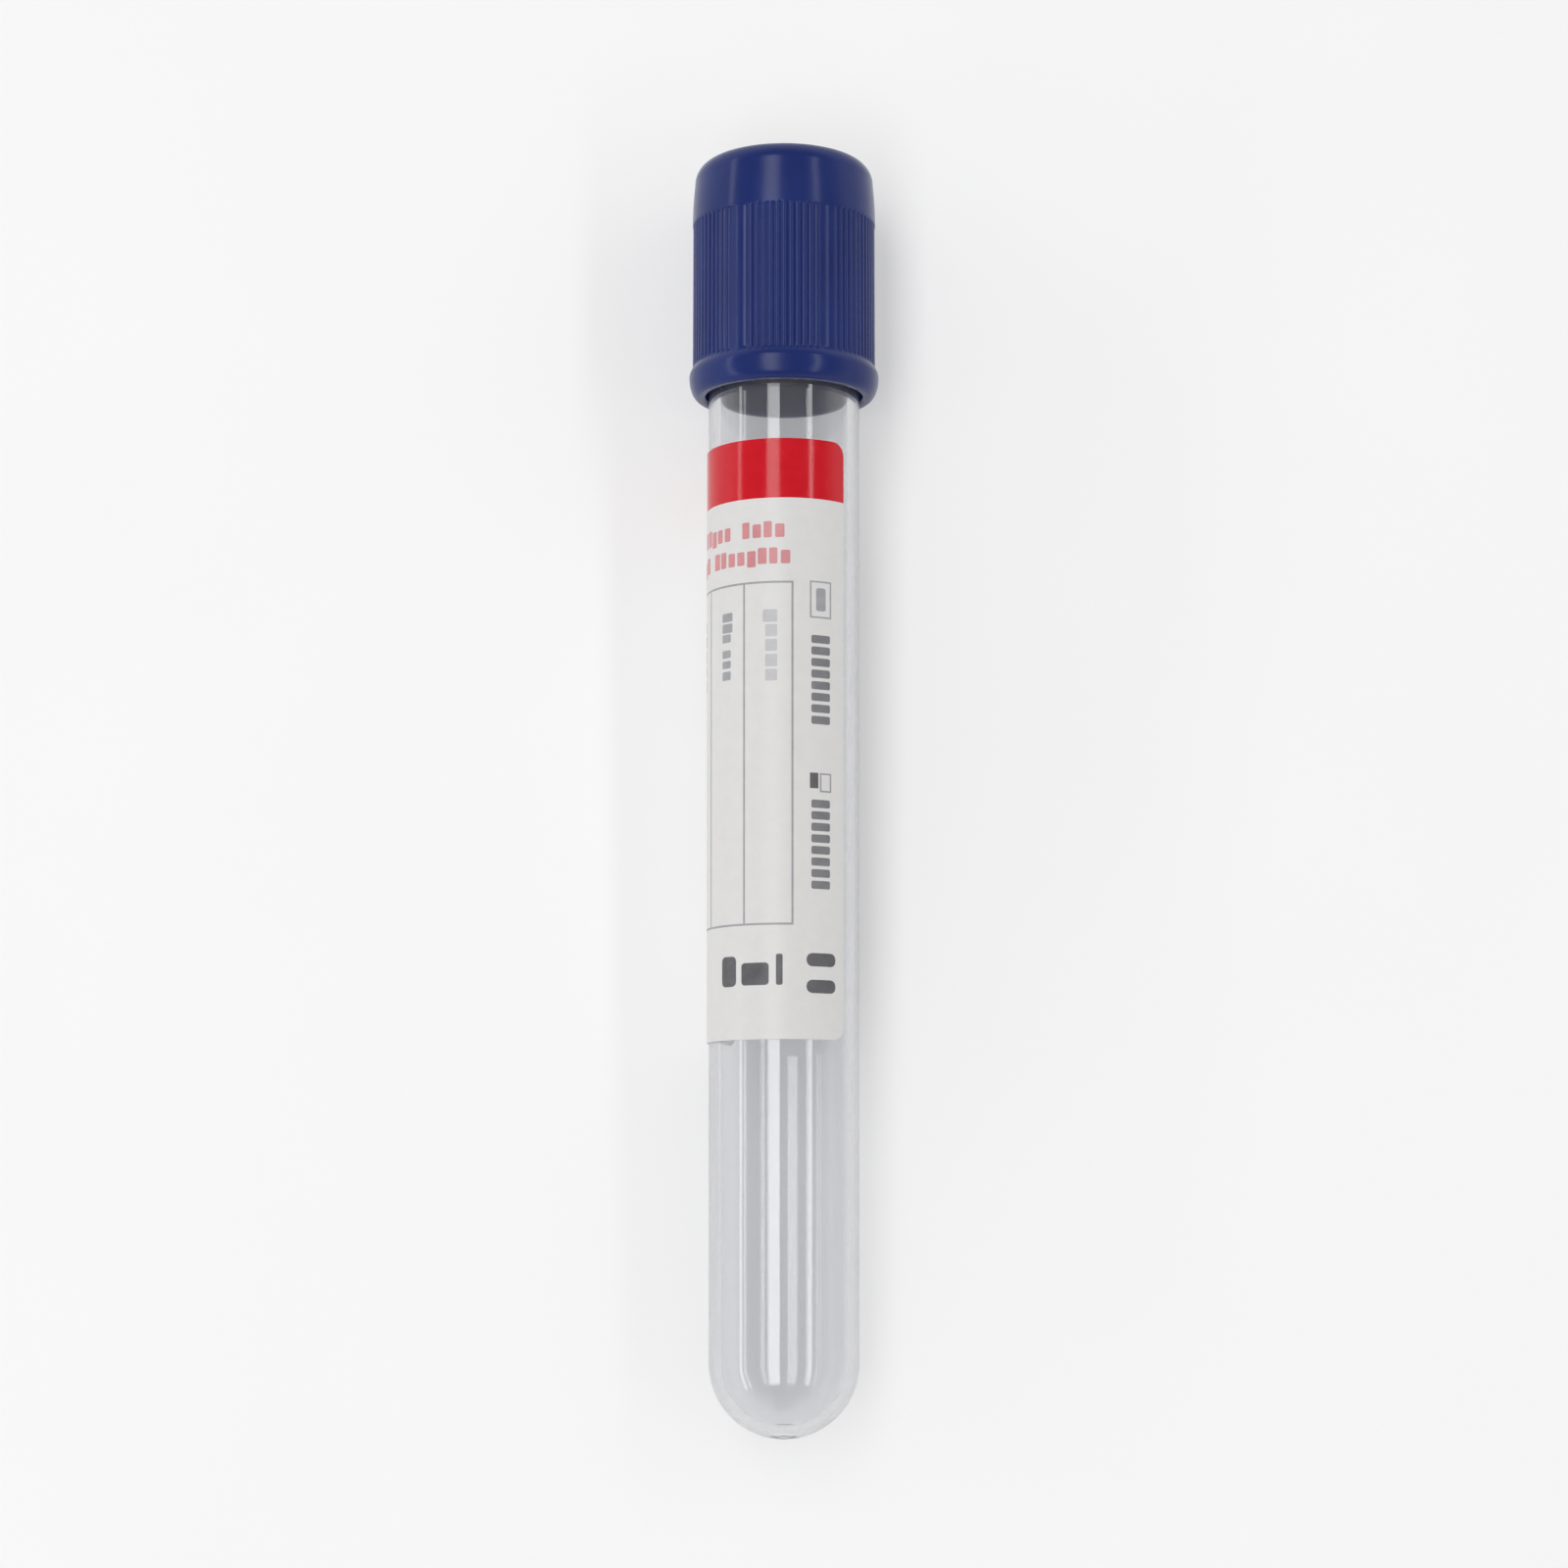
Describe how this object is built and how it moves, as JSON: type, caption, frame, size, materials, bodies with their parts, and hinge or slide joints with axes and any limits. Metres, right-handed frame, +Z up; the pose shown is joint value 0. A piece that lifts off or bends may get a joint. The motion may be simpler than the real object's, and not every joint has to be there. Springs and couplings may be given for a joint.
{
  "type": "blood collection tube",
  "caption": "Clear round-bottomed evacuated tube with a ribbed blue push-on cap, a rubber stopper and a wrapped paper label with a red band, lying on its side.",
  "frame": {"origin": "on the bench plane, under the middle of the object's bounding box", "axes": "+Y along the tube from its round bottom end to its cap (the axis itself rises 1.3 degrees, because the collar is wider than the foot of the tube); +Z up, out through the front of the label; +X to the right, seen from above with the cap at the top"},
  "size_m": [0.0164, 0.109, 0.0164],
  "materials": {
    "clear_plastic": "clear moulded polyester, glossy",
    "blue_plastic": "deep blue moulded polyethylene, satin gloss",
    "stopper_rubber": "matt moulded butyl rubber",
    "label_paper": "off-white printed film-coated paper with a red band"
  },
  "bodies": {
    "vessel": {"tube": "clear_plastic", "label": "label_paper"},
    "closure": {"cap": "blue_plastic", "stopper": "stopper_rubber"}
  },
  "joints": [
    {"name": "cap_pull", "type": "slide", "parent": "vessel", "child": "closure", "axis": [0, 0.9997, 0.0227], "range_m": [0, 0.03]}
  ]
}
